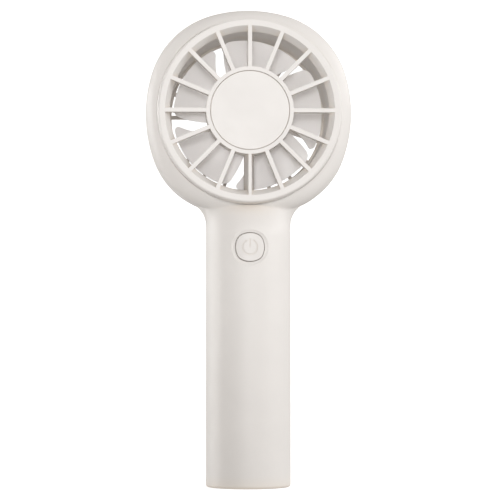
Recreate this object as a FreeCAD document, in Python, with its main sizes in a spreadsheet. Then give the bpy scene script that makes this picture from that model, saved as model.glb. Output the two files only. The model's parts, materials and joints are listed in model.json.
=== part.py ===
"""Handheld electric fan: a round fan head on a straight round handle.

Millimetres, +Z up, origin at the centre of the handle's foot. The fan blows towards -Y, so the front
of the object faces -Y, and +X is on the right of a person who looks at that front.
"""
import FreeCAD
import Part
import Sketcher
import math
import os
import re

Vector = FreeCAD.Vector

# Driving dimensions: alias, value in millimetres (or a plain count or degrees), what it is.
DIMENSIONS = (
    ("fan_height", 160.8, "height of the fan's axis above the foot"),
    ("head_half", 44.3, "half width of the head across its flats"),
    ("head_corner", 45.85, "radius of the head at its upper diagonals"),
    ("head_low_corner", 46.35, "radius of the head at its lower diagonals"),
    ("head_flat_arc", 59.0, "radius of the four long arcs of the head's outline"),
    ("head_front", 14.5, "front plane of the head ahead of the handle's axis"),
    ("head_rear", 18.5, "rear plane of the head behind the handle's axis"),
    ("head_front_round", 10.0, "rounding of the head's front edge"),
    ("head_rear_round", 13.0, "rounding of the head's rear edge"),
    ("wall", 2.0, "thickness of the casing"),
    ("lip_depth", 1.5, "length of the locating lip at the joint of the shells"),
    ("lip_wall", 0.9, "thickness of the locating lip"),
    ("fit", 0.1, "gap between two fixed mouldings"),
    ("handle_radius", 18.25, "outer radius of the handle"),
    ("foot_round", 1.2, "rounding of the handle's foot"),
    ("neck_start", 107.7, "height where the handle begins to change into the neck"),
    ("neck_tangent", 112.2, "height where the neck's side fillets leave the handle"),
    ("neck_fillet", 11.0, "radius of the neck's side fillets"),
    ("neck_end", 125.2, "top of the neck, inside the head"),
    ("neck_front_step", 6.0, "how far the neck's front face falls back under the bezel"),
    ("neck_rear_step", 4.0, "how far the neck's rear face falls back under the head"),
    ("duct_radius", 34.0, "inner radius of the air duct"),
    ("duct_wall", 1.4, "thickness of the duct's wall"),
    ("seat_radius", 39.75, "radius of the recess that the grilles sit in"),
    ("seat_front", 10.5, "front grille's seat ahead of the handle's axis"),
    ("seat_rear", 14.5, "rear grille's seat behind the handle's axis"),
    ("seat_web", 2.2, "thickness of the webs under the seats"),
    ("bezel_front", 18.0, "front plane of the bezel ahead of the handle's axis"),
    ("bezel_radius", 39.1, "outer radius of the bezel at its front"),
    ("bezel_foot_radius", 39.7, "outer radius of the bezel inside its seat"),
    ("bezel_mouth", 36.2, "inner radius of the bezel at its front"),
    ("mouth_depth", 3.6, "depth of the flare at the mouth of the bezel"),
    ("spoke_count", 16, "number of front spokes"),
    ("spoke_width", 1.75, "width of a front spoke"),
    ("spoke_depth", 5.0, "depth of a front spoke"),
    ("hub_radius", 18.7, "outer radius of the front hub"),
    ("hub_rear", 6.0, "rear face of the front hub ahead of the handle's axis"),
    ("cap_radius", 16.85, "radius of the hub cap"),
    ("cap_thickness", 1.4, "thickness of the hub cap"),
    ("mount_front", 13.0, "front of the motor mount ahead of the handle's axis"),
    ("strut_front_width", 1.3, "width of the wire strut at its front"),
    ("strut_rear_width", 4.4, "width of the wire strut at its rear"),
    ("strut_rear", 6.4, "rear face of the wire strut ahead of the handle's axis"),
    ("channel_width", 2.6, "width of the wire channel in the strut"),
    ("channel_front", 8.5, "front wall of the wire channel ahead of the handle's axis"),
    ("rib_count", 20, "number of rear ribs"),
    ("rib_width", 1.5, "width of a rear rib"),
    ("rib_depth", 3.0, "depth of a rear rib"),
    ("rear_mouth", 33.05, "inner radius of the rear grille's ring"),
    ("rear_hub_radius", 17.0, "radius of the rear grille's centre disc"),
    ("blade_count", 5, "number of impeller blades"),
    ("blade_tip", 32.3, "radius of the blade tips"),
    ("blade_angle", 61.5, "angle that a blade covers at its tip"),
    ("blade_sweep", 12.0, "angle that a blade's edges lean from root to tip"),
    ("blade_hook", 6.0, "further angle that a blade's leading edge runs ahead at its tip"),
    ("blade_start", -24.0, "angle of the first blade's leading edge at its tip"),
    ("blade_axial", 10.5, "length of a blade along the fan's axis"),
    ("blade_centre", 2.8, "middle of the blades behind the handle's axis"),
    ("blade_camber", 1.3, "height of the blade's arch"),
    ("blade_thickness", 1.5, "thickness of a blade along the axis"),
    ("impeller_hub", 17.3, "outer radius of the impeller's hub"),
    ("impeller_front", 4.6, "front rim of the impeller's hub ahead of the handle's axis"),
    ("impeller_rear", 9.0, "rear face of the impeller's hub behind the handle's axis"),
    ("shaft_radius", 1.5, "radius of the motor's shaft"),
    ("running_gap", 0.03, "radial clearance of the shaft in its bearings"),
    ("bearing_radius", 3.0, "outer radius of the ball bearings"),
    ("bearing_width", 2.5, "width of a ball bearing"),
    ("tube_radius", 4.0, "outer radius of the bearing tube"),
    ("stator_radius", 12.2, "outer radius of the stator"),
    ("stator_half", 2.6, "half of the stator's stack"),
    ("tooth_count", 6, "number of stator teeth"),
    ("magnet_inner", 12.8, "inner radius of the magnet ring"),
    ("bell_inner", 14.6, "inner radius of the rotor bell"),
    ("bell_outer", 15.5, "outer radius of the rotor bell"),
    ("motor_board_front", 5.4, "front face of the motor's board ahead of the handle's axis"),
    ("motor_board_radius", 11.6, "outer radius of the motor's board"),
    ("motor_board_thickness", 0.8, "thickness of the motor's board"),
    ("lead_radius", 0.5, "radius of a motor lead"),
    ("lead_half_pitch", 0.6, "half of the distance between the two motor leads"),
    ("lead_plane", 7.4, "plane of the motor leads ahead of the handle's axis"),
    ("button_height", 102.5, "height of the button's axis above the foot"),
    ("button_half", 6.05, "half width of the button's cap"),
    ("button_corner", 6.37, "radius of the button's cap at its diagonals"),
    ("button_flat_arc", 7.9, "radius of the four long arcs of the button's outline"),
    ("button_gap", 0.28, "gap between the button and the casing"),
    ("button_sink", 0.35, "how far the button's face lies under the handle's surface"),
    ("dish_radius", 7.9, "radius where the dish around the button meets the handle"),
    ("dish_depth", 0.7, "depth of the dish around the button"),
    ("symbol_radius", 3.1, "radius of the power symbol's arc"),
    ("symbol_stroke", 0.62, "stroke of the power symbol"),
    ("symbol_bar", 3.4, "length of the power symbol's bar"),
    ("symbol_depth", 0.22, "depth of the sunk power symbol"),
    ("flange_radius", 7.5, "radius of the flange that holds the button in"),
    ("flange_front", 13.9, "front of the button's flange ahead of the handle's axis"),
    ("flange_thickness", 0.9, "thickness of the button's flange"),
    ("stem_radius", 1.9, "radius of the button's stem"),
    ("chip_length", 1.25, "length of a capacitor or resistor"),
    ("chip_width", 2.0, "width of a capacitor or resistor"),
    ("chip_height", 0.8, "height of a capacitor or resistor"),
    ("chip_column", 5.5, "distance of the chip rows from the middle"),
    ("chip_pitch", 6.0, "spacing of the chips in a row"),
    ("chip_lowest", 26.0, "lower end of the lowest chips"),
    ("switch_top", 10.6, "front end of the switch's plunger ahead of the handle's axis"),
    ("plug_bottom", 106.0, "lower end of the motor leads' plug"),
    ("plug_top", 110.3, "upper end of the motor leads' plug"),
    ("board_front", 6.2, "front face of the main board ahead of the handle's axis"),
    ("board_thickness", 1.2, "thickness of the main board"),
    ("board_half", 9.5, "half width of the main board"),
    ("board_bottom", 3.6, "lower edge of the main board"),
    ("board_top", 112.1, "upper edge of the main board"),
    ("cell_radius", 9.3, "radius of the battery cell"),
    ("cell_axis", 4.9, "axis of the battery cell behind the handle's axis"),
    ("cell_bottom", 24.0, "lower end of the battery cell"),
    ("cell_length", 65.2, "length of the battery cell"),
    ("pad_thickness", 1.6, "thickness of the foam pads at the cell's ends"),
    ("cradle_radius", 10.7, "outer radius of the battery cradle"),
    ("cap_disc_radius", 16.05, "radius of the base cap"),
    ("cap_flange", 17.15, "radius of the base cap's captured flange"),
    ("cap_height", 3.2, "height of the base cap"),
    ("socket_half_width", 4.47, "half width of the charging socket's shell"),
    ("socket_half_height", 1.63, "half height of the charging socket's shell"),
    ("socket_length", 7.4, "length of the charging socket's shell"),
    ("socket_bottom", 0.4, "mouth of the charging socket above the foot"),
    ("socket_wall", 0.3, "thickness of the charging socket's shell"),
    ("screw_radius", 1.1, "radius of a casing screw's shank"),
    ("screw_head", 1.9, "radius of a casing screw's head"),
    ("head_screw_circle", 37.9, "radius of the circle of the four head screws"),
    ("handle_screw_x", 12.2, "distance of the handle screws from the middle"),
    ("handle_screw_height", 13.0, "height of the handle screws above the foot"),
    ("boss_radius", 2.4, "outer radius of a screw boss"),
    ("board_screw_x", 6.8, "distance of the board screws from the middle"),
    ("board_screw_low", 14.5, "height of the lower board screws"),
    ("board_screw_high", 94.4, "height of the upper board screws"),
)

doc = FreeCAD.newDocument("HandheldFan")
sheet = doc.addObject("Spreadsheet::Sheet", "dims")
for row, (alias, value, note) in enumerate(DIMENSIONS, start=1):
    sheet.set("A%d" % row, note)
    sheet.set("B%d" % row, str(value))
    sheet.setAlias("B%d" % row, alias)
doc.recompute()
ALIASES = {alias for alias, value, note in DIMENSIONS}


def cells(text):
    """Turn a formula in plain cell names into an expression on the sheet."""
    return re.sub(r"[a-z][a-z_]+", lambda word: "dims." + word.group(), str(text))


def number(text):
    """The present value of a formula in cell names."""
    return float(sheet.evalExpression(cells(text)))


def size(alias):
    """The present value of one cell."""
    return float(sheet.get(alias))


# ---------------------------------------------------------------------------------------------
# PartDesign helpers
# ---------------------------------------------------------------------------------------------

def new_body(label, height=None):
    """A body whose own origin lies on the Z axis, at the given height."""
    body = doc.addObject("PartDesign::Body", label)
    body.Label = label
    if height:
        body.setExpression("Placement.Base.z", cells(height))
    return body


def new_sketch(body, role, offset="0"):
    """A sketch on one of the body's own origin planes, moved along the plane's normal."""
    plane = next(item for item in body.Origin.OriginFeatures if item.Role == role)
    sketch = body.newObject("Sketcher::SketchObject", body.Label + "_sketch")
    sketch.AttachmentSupport = [(plane, "")]
    sketch.MapMode = "FlatFace"
    sketch.setExpression("AttachmentOffset.Base.z", cells(offset))
    return sketch


def bind(sketch, kind, geometry, point, formula):
    """Tie one coordinate of a sketch point, or a radius, to the sheet."""
    value = number(formula)
    axis = {"DistanceX": -2, "DistanceY": -1}.get(kind)
    if axis and abs(value) < 1e-9:
        sketch.addConstraint(Sketcher.Constraint("PointOnObject", geometry, point, axis))
        return
    if kind == "Radius":
        index = sketch.addConstraint(Sketcher.Constraint(kind, geometry, value))
    else:
        index = sketch.addConstraint(Sketcher.Constraint(kind, geometry, point, value))
    sketch.setExpression("Constraints[%d]" % index, cells(formula))


def polygon(body, role, corners, offset="0"):
    """A closed outline whose corners are pairs of formulas."""
    sketch = new_sketch(body, role, offset)
    points = [Vector(number(u), number(v), 0) for u, v in corners]
    count = len(points)
    for index in range(count):
        sketch.addGeometry(Part.LineSegment(points[index], points[(index + 1) % count]), False)
    for index in range(count):
        sketch.addConstraint(Sketcher.Constraint("Coincident", index, 2, (index + 1) % count, 1))
    for index, (u, v) in enumerate(corners):
        bind(sketch, "DistanceX", index, 1, u)
        bind(sketch, "DistanceY", index, 1, v)
    return sketch


def rectangle(body, role, left, bottom, right, top, offset="0"):
    """A closed rectangle between two corners."""
    corners = ((left, bottom), (right, bottom), (right, top), (left, top))
    return polygon(body, role, corners, offset)


def circle(body, role, across, up, radius, offset="0"):
    """A circle at a place given by formulas."""
    sketch = new_sketch(body, role, offset)
    centre = Vector(number(across), number(up), 0)
    sketch.addGeometry(Part.Circle(centre, Vector(0, 0, 1), number(radius)), False)
    bind(sketch, "DistanceX", 0, 3, across)
    bind(sketch, "DistanceY", 0, 3, up)
    bind(sketch, "Radius", 0, None, radius)
    return sketch


def slot(body, role, across, up, half_width, half_height, offset="0"):
    """A slot with round ends, lying along the sketch's first axis."""
    sketch = new_sketch(body, role, offset)
    x, y = number(across), number(up)
    reach, radius = number(half_width) - number(half_height), number(half_height)
    right, left = Vector(x + reach, y, 0), Vector(x - reach, y, 0)
    rise, side = Vector(0, radius, 0), Vector(radius, 0, 0)
    sketch.addGeometry(Part.Arc(right - rise, right + side, right + rise), False)
    sketch.addGeometry(Part.LineSegment(right + rise, left + rise), False)
    sketch.addGeometry(Part.Arc(left + rise, left - side, left - rise), False)
    sketch.addGeometry(Part.LineSegment(left - rise, right - rise), False)
    for first, last in ((0, 1), (1, 2), (2, 3), (3, 0)):
        sketch.addConstraint(Sketcher.Constraint("Coincident", first, 2, last, 1))
    for index, sign in ((0, " + "), (2, " - ")):
        bind(sketch, "DistanceX", index, 3, across + sign + "(" + half_width + " - " + half_height + ")")
        bind(sketch, "DistanceY", index, 3, up)
        bind(sketch, "Radius", index, None, half_height)
    return sketch


def turned(body, sketch, cutting=False):
    """Turn an outline round the sketch's own upright axis."""
    kind = "PartDesign::Groove" if cutting else "PartDesign::Revolution"
    feature = body.newObject(kind, body.Label + "_turned")
    feature.Profile = sketch
    feature.ReferenceAxis = (sketch, ["V_Axis"])
    feature.Angle = 360
    return feature


def pad(body, sketch, length, backwards=False, centred=False):
    """Pad an outline along the sketch's normal, or against it."""
    feature = body.newObject("PartDesign::Pad", body.Label + "_pad")
    feature.Profile = sketch
    feature.setExpression("Length", cells(length))
    feature.Reversed = backwards
    feature.SideType = "Symmetric" if centred else "One side"
    return feature


def pocket(body, sketch, length, backwards=False):
    """Pocket an outline against the sketch's normal, or along it; it has to remove something."""
    doc.recompute()
    before = body.Shape.Volume
    feature = body.newObject("PartDesign::Pocket", body.Label + "_pocket")
    feature.Profile = sketch
    feature.setExpression("Length", cells(length))
    feature.Reversed = backwards
    doc.recompute()
    if body.Shape.Volume > before - 1e-3:
        raise RuntimeError("a pocket in %s removes nothing" % body.Label)
    return feature


def polar(body, feature, sketch, count):
    """Repeat a feature round the normal of its sketch."""
    pattern = body.newObject("PartDesign::PolarPattern", body.Label + "_ring")
    pattern.Originals = [feature]
    pattern.Axis = (sketch, ["N_Axis"])
    pattern.Angle = 360
    pattern.setExpression("Occurrences", cells(count))
    body.Tip = pattern
    return pattern


def rounded(body, radius, wanted):
    """Round the edges of the body that the given test picks."""
    doc.recompute()
    base = body.Tip
    names = ["Edge%d" % (n + 1) for n, edge in enumerate(base.Shape.Edges) if wanted(edge)]
    fillet = body.newObject("PartDesign::Fillet", body.Label + "_round")
    fillet.Base = (base, names)
    fillet.Radius = radius
    return fillet


def is_ring(edge, radius, depth):
    """True for a full or partial circle about the Y axis of the given radius and depth."""
    curve = edge.Curve
    if not isinstance(curve, Part.Circle):
        return False
    middle = edge.CenterOfMass
    return abs(curve.Radius - radius) < 0.01 and abs(middle.y - depth) < 0.01


def turned_body(label, height, corners, role="XY_Plane"):
    """A body turned from one outline: role XY_Plane turns it round Y, XZ_Plane round Z."""
    body = new_body(label, height)
    turned(body, polygon(body, role, corners))
    return body


def block_body(label, left, right, front, rear, bottom, top):
    """A straight block between six planes; front and rear are depths along +Y."""
    body = new_body(label)
    sketch = rectangle(body, "XY_Plane", left, front, right, rear, bottom)
    pad(body, sketch, "(%s) - (%s)" % (top, bottom))
    return body


def feature(label, shape):
    """A sub-part whose shape is worked out from the sheet below."""
    item = doc.addObject("Part::Feature", label)
    item.Label = label
    item.Shape = shape
    return item


# ---------------------------------------------------------------------------------------------
# Casing: the outer form, which can be drawn inset for the hollow and for the lip
# ---------------------------------------------------------------------------------------------

def corner_arc(half, corner, flat_arc):
    """Place, radius and start angle of the tight arc that joins two long arcs at a diagonal."""
    shift = flat_arc - half
    rest = flat_arc - corner
    place = (shift ** 2 - rest ** 2) / (2 * (math.sqrt(2) * rest - shift))
    return place, corner - math.sqrt(2) * place, math.atan2(place, place + shift)


def squared_circle(half, corner, flat_arc, inset=0.0, low_corner=None):
    """Outline of eight arcs in the XZ plane: four long arcs joined by four tighter ones."""
    shift = flat_arc - half
    high = corner_arc(half, corner, flat_arc)
    low = corner_arc(half, low_corner or corner, flat_arc)
    corners = (high, high, low, low)

    def on_arc(centre, radius, angle):
        return Vector(centre[0] + radius * math.cos(angle), 0, centre[1] + radius * math.sin(angle))

    edges = []
    for quarter in range(4):
        base = quarter * math.pi / 2
        before = corners[quarter - 1][2]
        place, tight, turn = corners[quarter]
        flat_centre = (-shift * math.cos(base), -shift * math.sin(base))
        diagonal = base + math.pi / 4
        reach = place * math.sqrt(2)
        corner_centre = (reach * math.cos(diagonal), reach * math.sin(diagonal))
        flat_points = [on_arc(flat_centre, flat_arc - inset, base + a) for a in (-before, 0, turn)]
        sweep = (base + turn, diagonal, base + math.pi / 2 - turn)
        corner_points = [on_arc(corner_centre, tight - inset, a) for a in sweep]
        edges.append(Part.Arc(*flat_points).toShape())
        edges.append(Part.Arc(*corner_points).toShape())
    return Part.Wire(edges)


def head_form(inset):
    """The head: a thick disc with the squared outline and fully rounded edges."""
    outline = squared_circle(size("head_half"), size("head_corner"), size("head_flat_arc"), inset,
                             size("head_low_corner"))
    front = -size("head_front") + inset
    rear = size("head_rear") - inset
    outline.translate(Vector(0, front, size("fan_height")))
    disc = Part.Face(outline).extrude(Vector(0, rear - front, 0))
    for depth, rounding in ((front, "head_front_round"), (rear, "head_rear_round")):
        rim = [e for e in disc.Edges if e.BoundBox.YLength < 1e-6 and abs(e.BoundBox.YMin - depth) < 1e-6]
        disc = disc.makeFillet(size(rounding) - inset, rim)
    return disc


def neck_section(height, inset):
    """One level section of the handle and neck: two half ellipses, front and rear."""
    radius = size("handle_radius")
    start = size("neck_start")
    tangent = size("neck_tangent")
    flare = size("neck_fillet")
    rise = min(max(height - tangent, 0.0), 0.89 * flare)
    half_width = radius + flare - math.sqrt(flare ** 2 - rise ** 2)
    share = min(max((height - start) / (size("neck_end") - 2 - start), 0.0), 1.0)
    blend = share * share * (3 - 2 * share)
    front = radius - size("neck_front_step") * blend
    rear = radius - size("neck_rear_step") * blend
    edges = []
    for sign, depth in ((-1, front), (1, rear)):
        half = Part.Arc(Vector(-sign, 0, 0), Vector(0, sign, 0), Vector(sign, 0, 0)).toBSpline()
        for index, pole in enumerate(half.getPoles(), start=1):
            place = Vector(pole.x * (half_width - inset), pole.y * (depth - inset), height)
            half.setPole(index, place)
        edges.append(half.toShape())
    return Part.Wire(edges)


def handle_form(inset, bottom):
    """The handle, straight up to the neck, and the neck that widens into the head."""
    start = size("neck_start")
    first = neck_section(start, inset)
    handle = Part.Face(first).extrude(Vector(0, 0, bottom - start))
    if not inset:
        foot = [e for e in handle.Edges if e.BoundBox.ZMax < bottom + 1e-6]
        handle = handle.makeFillet(size("foot_round"), foot)
    end = size("neck_end")
    heights = [start, start + 2.2] + [size("neck_tangent") + rise for rise in (0, 2.5, 5.0, 7.5, 9.9)] + [end]
    neck = Part.makeLoft([neck_section(level, inset) for level in heights], True, False)
    return handle.fuse(neck)


def casing_form(inset, bottom=0.0):
    """The whole casing as one closed form."""
    return head_form(inset).fuse(handle_form(inset, bottom)).removeSplitter()


def drum(radius, front, rear, height, across=0.0):
    """A cylinder along Y between two depths."""
    return Part.makeCylinder(radius, rear - front, Vector(across, front, height), Vector(0, 1, 0))


def tube(inner, outer, front, rear, height, across=0.0):
    """A thick-walled cylinder along Y between two depths."""
    return drum(outer, front, rear, height, across).cut(drum(inner, front - 1, rear + 1, height, across))


def slab(front, rear):
    """All the space between two depths."""
    return Part.makeBox(200, rear - front, 400, Vector(-100, front, -100))


def head_screw_places():
    """The four head screws, at the diagonals of the head."""
    reach = size("head_screw_circle") / math.sqrt(2)
    middle = size("fan_height")
    return [(x * reach, middle + z * reach) for x in (-1, 1) for z in (-1, 1)]


def handle_screw_places():
    """The two screws near the handle's foot."""
    return [(side * size("handle_screw_x"), size("handle_screw_height")) for side in (-1, 1)]


def board_screw_places():
    """The four screws of the main board."""
    heights = (size("board_screw_low"), size("board_screw_high"))
    return [(side * size("board_screw_x"), height) for side in (-1, 1) for height in heights]


def cap_groove():
    """The ring groove inside the handle's foot that captures the base cap's flange."""
    gap = size("fit")
    groove = Part.makeCylinder(size("cap_flange") + gap, 1.2 + 2 * gap, Vector(0, 0, 1.4 - gap))
    return groove


def wire_hole():
    """The hole in the duct's wall that the motor leads go through."""
    half = size("channel_width") / 2
    front = -size("channel_front") + 0.1
    rear = -size("strut_rear") + 0.1
    bottom = size("fan_height") - size("duct_radius") - 3
    return Part.makeBox(2 * half, rear - front, 6, Vector(-half, front, bottom))


def dish_tool():
    """Everything in front of the shallow dish that surrounds the button.

    The dish follows the handle's round front: its floor lies dish_depth under the surface, and its
    side rises smoothly until it leaves the surface at dish_radius.
    """
    handle = size("handle_radius")
    depth = size("dish_depth")
    edge = size("dish_radius")
    reach = edge + 2.0
    steps = 28
    rows = []
    for i in range(steps + 1):
        x = -reach + 2 * reach * i / steps
        row = []
        for j in range(steps + 1):
            z = -reach + 2 * reach * j / steps
            share = (math.hypot(x, z) - (edge - 1.5)) / 3.0
            share = min(max(share, 0.0), 1.0)
            sink = depth * math.cos(math.pi * share)
            row.append(Vector(x, -math.sqrt((handle - sink) ** 2 - x * x), z + size("button_height")))
        rows.append(row)
    surface = Part.BSplineSurface()
    surface.interpolate(rows)
    return surface.toShape().extrude(Vector(0, -6, 0))


def button_outline(inset):
    """The button's squared-circle outline at its own height."""
    outline = squared_circle(size("button_half"), size("button_corner"), size("button_flat_arc"), inset)
    outline.translate(Vector(0, 0, size("button_height")))
    return outline


OUTER = casing_form(0.0)
HOLLOW = casing_form(size("wall"), -5.0)


def seat_web(front, rear):
    """The flat web that joins the outer wall to the duct, with the duct's outer wall."""
    ring = tube(size("duct_radius"), size("seat_radius") + 2.5, front, rear, size("fan_height"))
    return ring.common(OUTER)


def lug_blocks(gap):
    """Blocks that mark the front shell's four lugs at the head screws, widened by a gap."""
    inner = size("duct_radius") + size("duct_wall") + size("fit") - gap
    half = size("boss_radius") + gap
    blocks = []
    for x, z in head_screw_places():
        block = Part.makeBox(2 * half, 60, 30, Vector(-half, -60, inner))
        block.rotate(Vector(0, 0, 0), Vector(0, 1, 0), math.degrees(math.atan2(x, z - size("fan_height"))))
        block.translate(Vector(0, 0, size("fan_height")))
        blocks.append(block)
    return Part.Compound(blocks)


def build_front_duct():
    """Front half of the duct's wall, with the web that the front grille sits on."""
    duct = size("duct_radius")
    seat = -size("seat_front")
    web = tube(duct, size("seat_radius") + 2.5, seat, seat + size("seat_web"), size("fan_height"))
    web = web.common(casing_form(size("wall") + size("fit"), -5.0))
    wall = tube(duct, duct + size("duct_wall"), seat, 0, size("fan_height"))
    return web.fuse(wall).cut(lug_blocks(size("fit"))).cut(wire_hole())


def build_front_shell():
    """Front half of the casing, with four lugs that carry the head screws."""
    middle = size("fan_height")
    seat = -size("seat_front")
    web = size("seat_web")
    shell = OUTER.cut(HOLLOW).common(slab(-60, 0))
    shell = shell.fuse(seat_web(seat, seat + web).common(lug_blocks(0)))
    lip_outer = casing_form(size("wall") - size("lip_wall"), -5.0)
    lip = lip_outer.cut(HOLLOW).common(slab(-0.8, size("lip_depth")))
    lip = lip.common(Part.makeBox(200, 10, 400, Vector(-100, -5, 4.5)))
    shell = shell.fuse(lip)
    boss = size("boss_radius")
    for x, z in head_screw_places():
        shell = shell.fuse(drum(boss, seat + web - 0.5, 0, z, x))
    for x, z in handle_screw_places():
        depth = math.sqrt((size("handle_radius") - 1) ** 2 - x * x)
        shell = shell.fuse(drum(boss, -depth, 0, z, x).common(OUTER))
    for x, z in board_screw_places():
        depth = math.sqrt((size("handle_radius") - 1) ** 2 - x * x)
        shell = shell.fuse(drum(boss, -depth, -size("board_front"), z, x).common(OUTER))
    shell = shell.cut(drum(size("seat_radius"), -60, seat, middle))
    for x, z in head_screw_places():
        shell = shell.cut(drum(size("screw_radius"), -4.0, 5, z, x))
    for x, z in handle_screw_places():
        shell = shell.cut(drum(size("screw_radius"), -6.0, 5, z, x))
    for x, z in board_screw_places():
        shell = shell.cut(drum(0.8, -size("board_front") - 4.2, 0, z, x))
    hole = Part.Face(button_outline(-size("button_gap"))).extrude(Vector(0, -30, 0))
    shell = shell.cut(hole).cut(dish_tool())
    return shell.cut(cap_groove()).cut(wire_hole())


def build_rear_shell():
    """Rear half of the casing."""
    middle = size("fan_height")
    duct = size("duct_radius")
    seat = size("seat_rear")
    web = size("seat_web") + 1.0
    shell = OUTER.cut(HOLLOW).common(slab(0, 60))
    shell = shell.fuse(seat_web(seat - web, seat))
    shell = shell.fuse(tube(duct, duct + size("duct_wall"), 0, seat - 0.5, middle))
    gap = size("fit")
    groove = casing_form(size("wall") - size("lip_wall") - gap, -5.0)
    shell = shell.cut(groove.common(slab(-1, size("lip_depth") + gap)).cut(drum(duct + size("duct_wall"),
                                                                             -1, 5, middle)))
    boss = size("boss_radius")
    for x, z in head_screw_places():
        shell = shell.fuse(drum(boss, 0, seat - web + 0.5, z, x))
    for x, z in handle_screw_places():
        shell = shell.fuse(drum(boss, 0, 14, z, x).common(OUTER))
    shell = shell.cut(drum(size("seat_radius"), seat, 60, middle))
    shell = shell.cut(drum(duct, -60, 60, middle))
    for x, z in head_screw_places():
        shell = shell.cut(drum(size("screw_radius") + 0.2, -1, 30, z, x))
        shell = shell.cut(drum(size("screw_head") + 0.15, seat - 1.8, 30, z, x))
    for x, z in handle_screw_places():
        shell = shell.cut(drum(size("screw_radius") + 0.2, -1, 30, z, x))
        shell = shell.cut(drum(size("screw_head") + 0.15, 10.2, 30, z, x))
    return shell.cut(cap_groove())


feature("front_shell", build_front_shell())
feature("front_duct", build_front_duct())
feature("rear_shell", build_rear_shell())


# ---------------------------------------------------------------------------------------------
# Grilles, hub cap and base cap
# ---------------------------------------------------------------------------------------------

def build_front_bezel():
    """Ring around the mouth of the duct, with the flare that leads the air out."""
    body = new_body("front_bezel", "fan_height")
    bezel = (("bezel_mouth", "-bezel_front"), ("bezel_radius", "-bezel_front"),
             ("bezel_foot_radius", "-head_front + 1.0"), ("bezel_foot_radius", "-seat_front - fit"),
             ("bezel_foot_radius - 1.5", "-seat_front - fit"), ("bezel_radius - 1.5", "-bezel_front + 2"),
             ("bezel_mouth + 0.7", "-bezel_front + 2"), ("duct_radius + 1.2", "-seat_front - fit"),
             ("duct_radius", "-seat_front - fit"), ("duct_radius", "-bezel_front + mouth_depth"))
    turned(body, polygon(body, "XY_Plane", bezel))
    front = -size("bezel_front")
    rounded(body, 0.9, lambda edge: is_ring(edge, size("bezel_radius"), front))
    return body


def build_grille_hub():
    """Ring in the middle of the front grille, with the seat of the hub cap."""
    body = new_body("grille_hub", "fan_height")
    hub = (("cap_radius - 0.6", "-mount_front"), ("cap_radius - 0.6", "-bezel_front + cap_thickness + fit"),
           ("cap_radius + 0.15", "-bezel_front + cap_thickness + fit"), ("cap_radius + 0.15", "-bezel_front"),
           ("hub_radius", "-bezel_front"), ("hub_radius", "-mount_front"))
    turned(body, polygon(body, "XY_Plane", hub))
    return body


def build_front_grille():
    """Straight spokes and the front of the wire strut, between the hub's ring and the bezel."""
    body = new_body("front_grille", "fan_height")
    body.AllowCompound = True
    spoke = rectangle(body, "XZ_Plane", "-spoke_width / 2", "hub_radius - 1", "spoke_width / 2",
                      "bezel_mouth + 1", "bezel_front - spoke_depth")
    step = 360.0 / size("spoke_count")
    spoke.AttachmentOffset = FreeCAD.Placement(spoke.AttachmentOffset.Base,
                                               FreeCAD.Rotation(Vector(0, 0, 1), 180 + step))
    bar = pad(body, spoke, "spoke_depth")
    spokes = polar(body, bar, spoke, "spoke_count - 1")
    spokes.Angle = 360 - 2 * step
    strut = polygon(body, "XY_Plane", (("-strut_front_width / 2", "-bezel_front"),
                                       ("strut_front_width / 2", "-bezel_front"),
                                       (STRUT_HALF_AT_MOUNT, "-mount_front"),
                                       ("-" + STRUT_HALF_AT_MOUNT, "-mount_front")), "-(hub_radius - 1)")
    pad(body, strut, "bezel_mouth + 1 - (hub_radius - 1)", backwards=True)
    inside_hub = (("0", "-bezel_front - 1"), ("hub_radius", "-bezel_front - 1"),
                  ("hub_radius", "-mount_front + 1"), ("0", "-mount_front + 1"))
    turned(body, polygon(body, "XY_Plane", inside_hub), cutting=True)
    inside_bezel = (("bezel_mouth", "-bezel_front - 1"), ("bezel_mouth", "-bezel_front"),
                    ("duct_radius", "-bezel_front + mouth_depth"), ("duct_radius", "-seat_front - fit"),
                    ("bezel_radius", "-seat_front - fit"), ("bezel_radius", "-bezel_front - 1"))
    turned(body, polygon(body, "XY_Plane", inside_bezel), cutting=True)
    return body


def build_motor_mount():
    """Cup behind the grille's hub that carries the motor, with the rear of the wire strut."""
    body = new_body("motor_mount", "fan_height")
    cup = (("tube_radius", "-hub_rear"), ("tube_radius", "-hub_rear - 2"),
           ("cap_radius - 0.6", "-hub_rear - 2"), ("cap_radius - 0.6", "-mount_front"),
           ("hub_radius", "-mount_front"), ("hub_radius", "-hub_rear"))
    turned(body, polygon(body, "XY_Plane", cup))
    strut = polygon(body, "XY_Plane", (("-" + STRUT_HALF_AT_MOUNT, "-mount_front"),
                                       (STRUT_HALF_AT_MOUNT, "-mount_front"),
                                       ("strut_rear_width / 2", "-strut_rear"),
                                       ("-strut_rear_width / 2", "-strut_rear")), "-(hub_radius - 1)")
    pad(body, strut, "duct_radius + 2 - (hub_radius - 1)", backwards=True)
    trim = (("duct_radius - 0.3", "-strut_rear + 1"), ("duct_radius - 0.3", "-seat_front"),
            ("duct_radius - fit", "-seat_front - 2 * fit"), ("duct_radius - fit", "-mount_front - 0.05"),
            ("duct_radius + 4", "-mount_front - 0.05"), ("duct_radius + 4", "-strut_rear + 1"))
    turned(body, polygon(body, "XY_Plane", trim), cutting=True)
    channel = rectangle(body, "XY_Plane", "-channel_width / 2", "-channel_front", "channel_width / 2",
                        "-strut_rear + 0.5", "-9")
    pocket(body, channel, "duct_radius", backwards=False)
    return body


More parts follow.
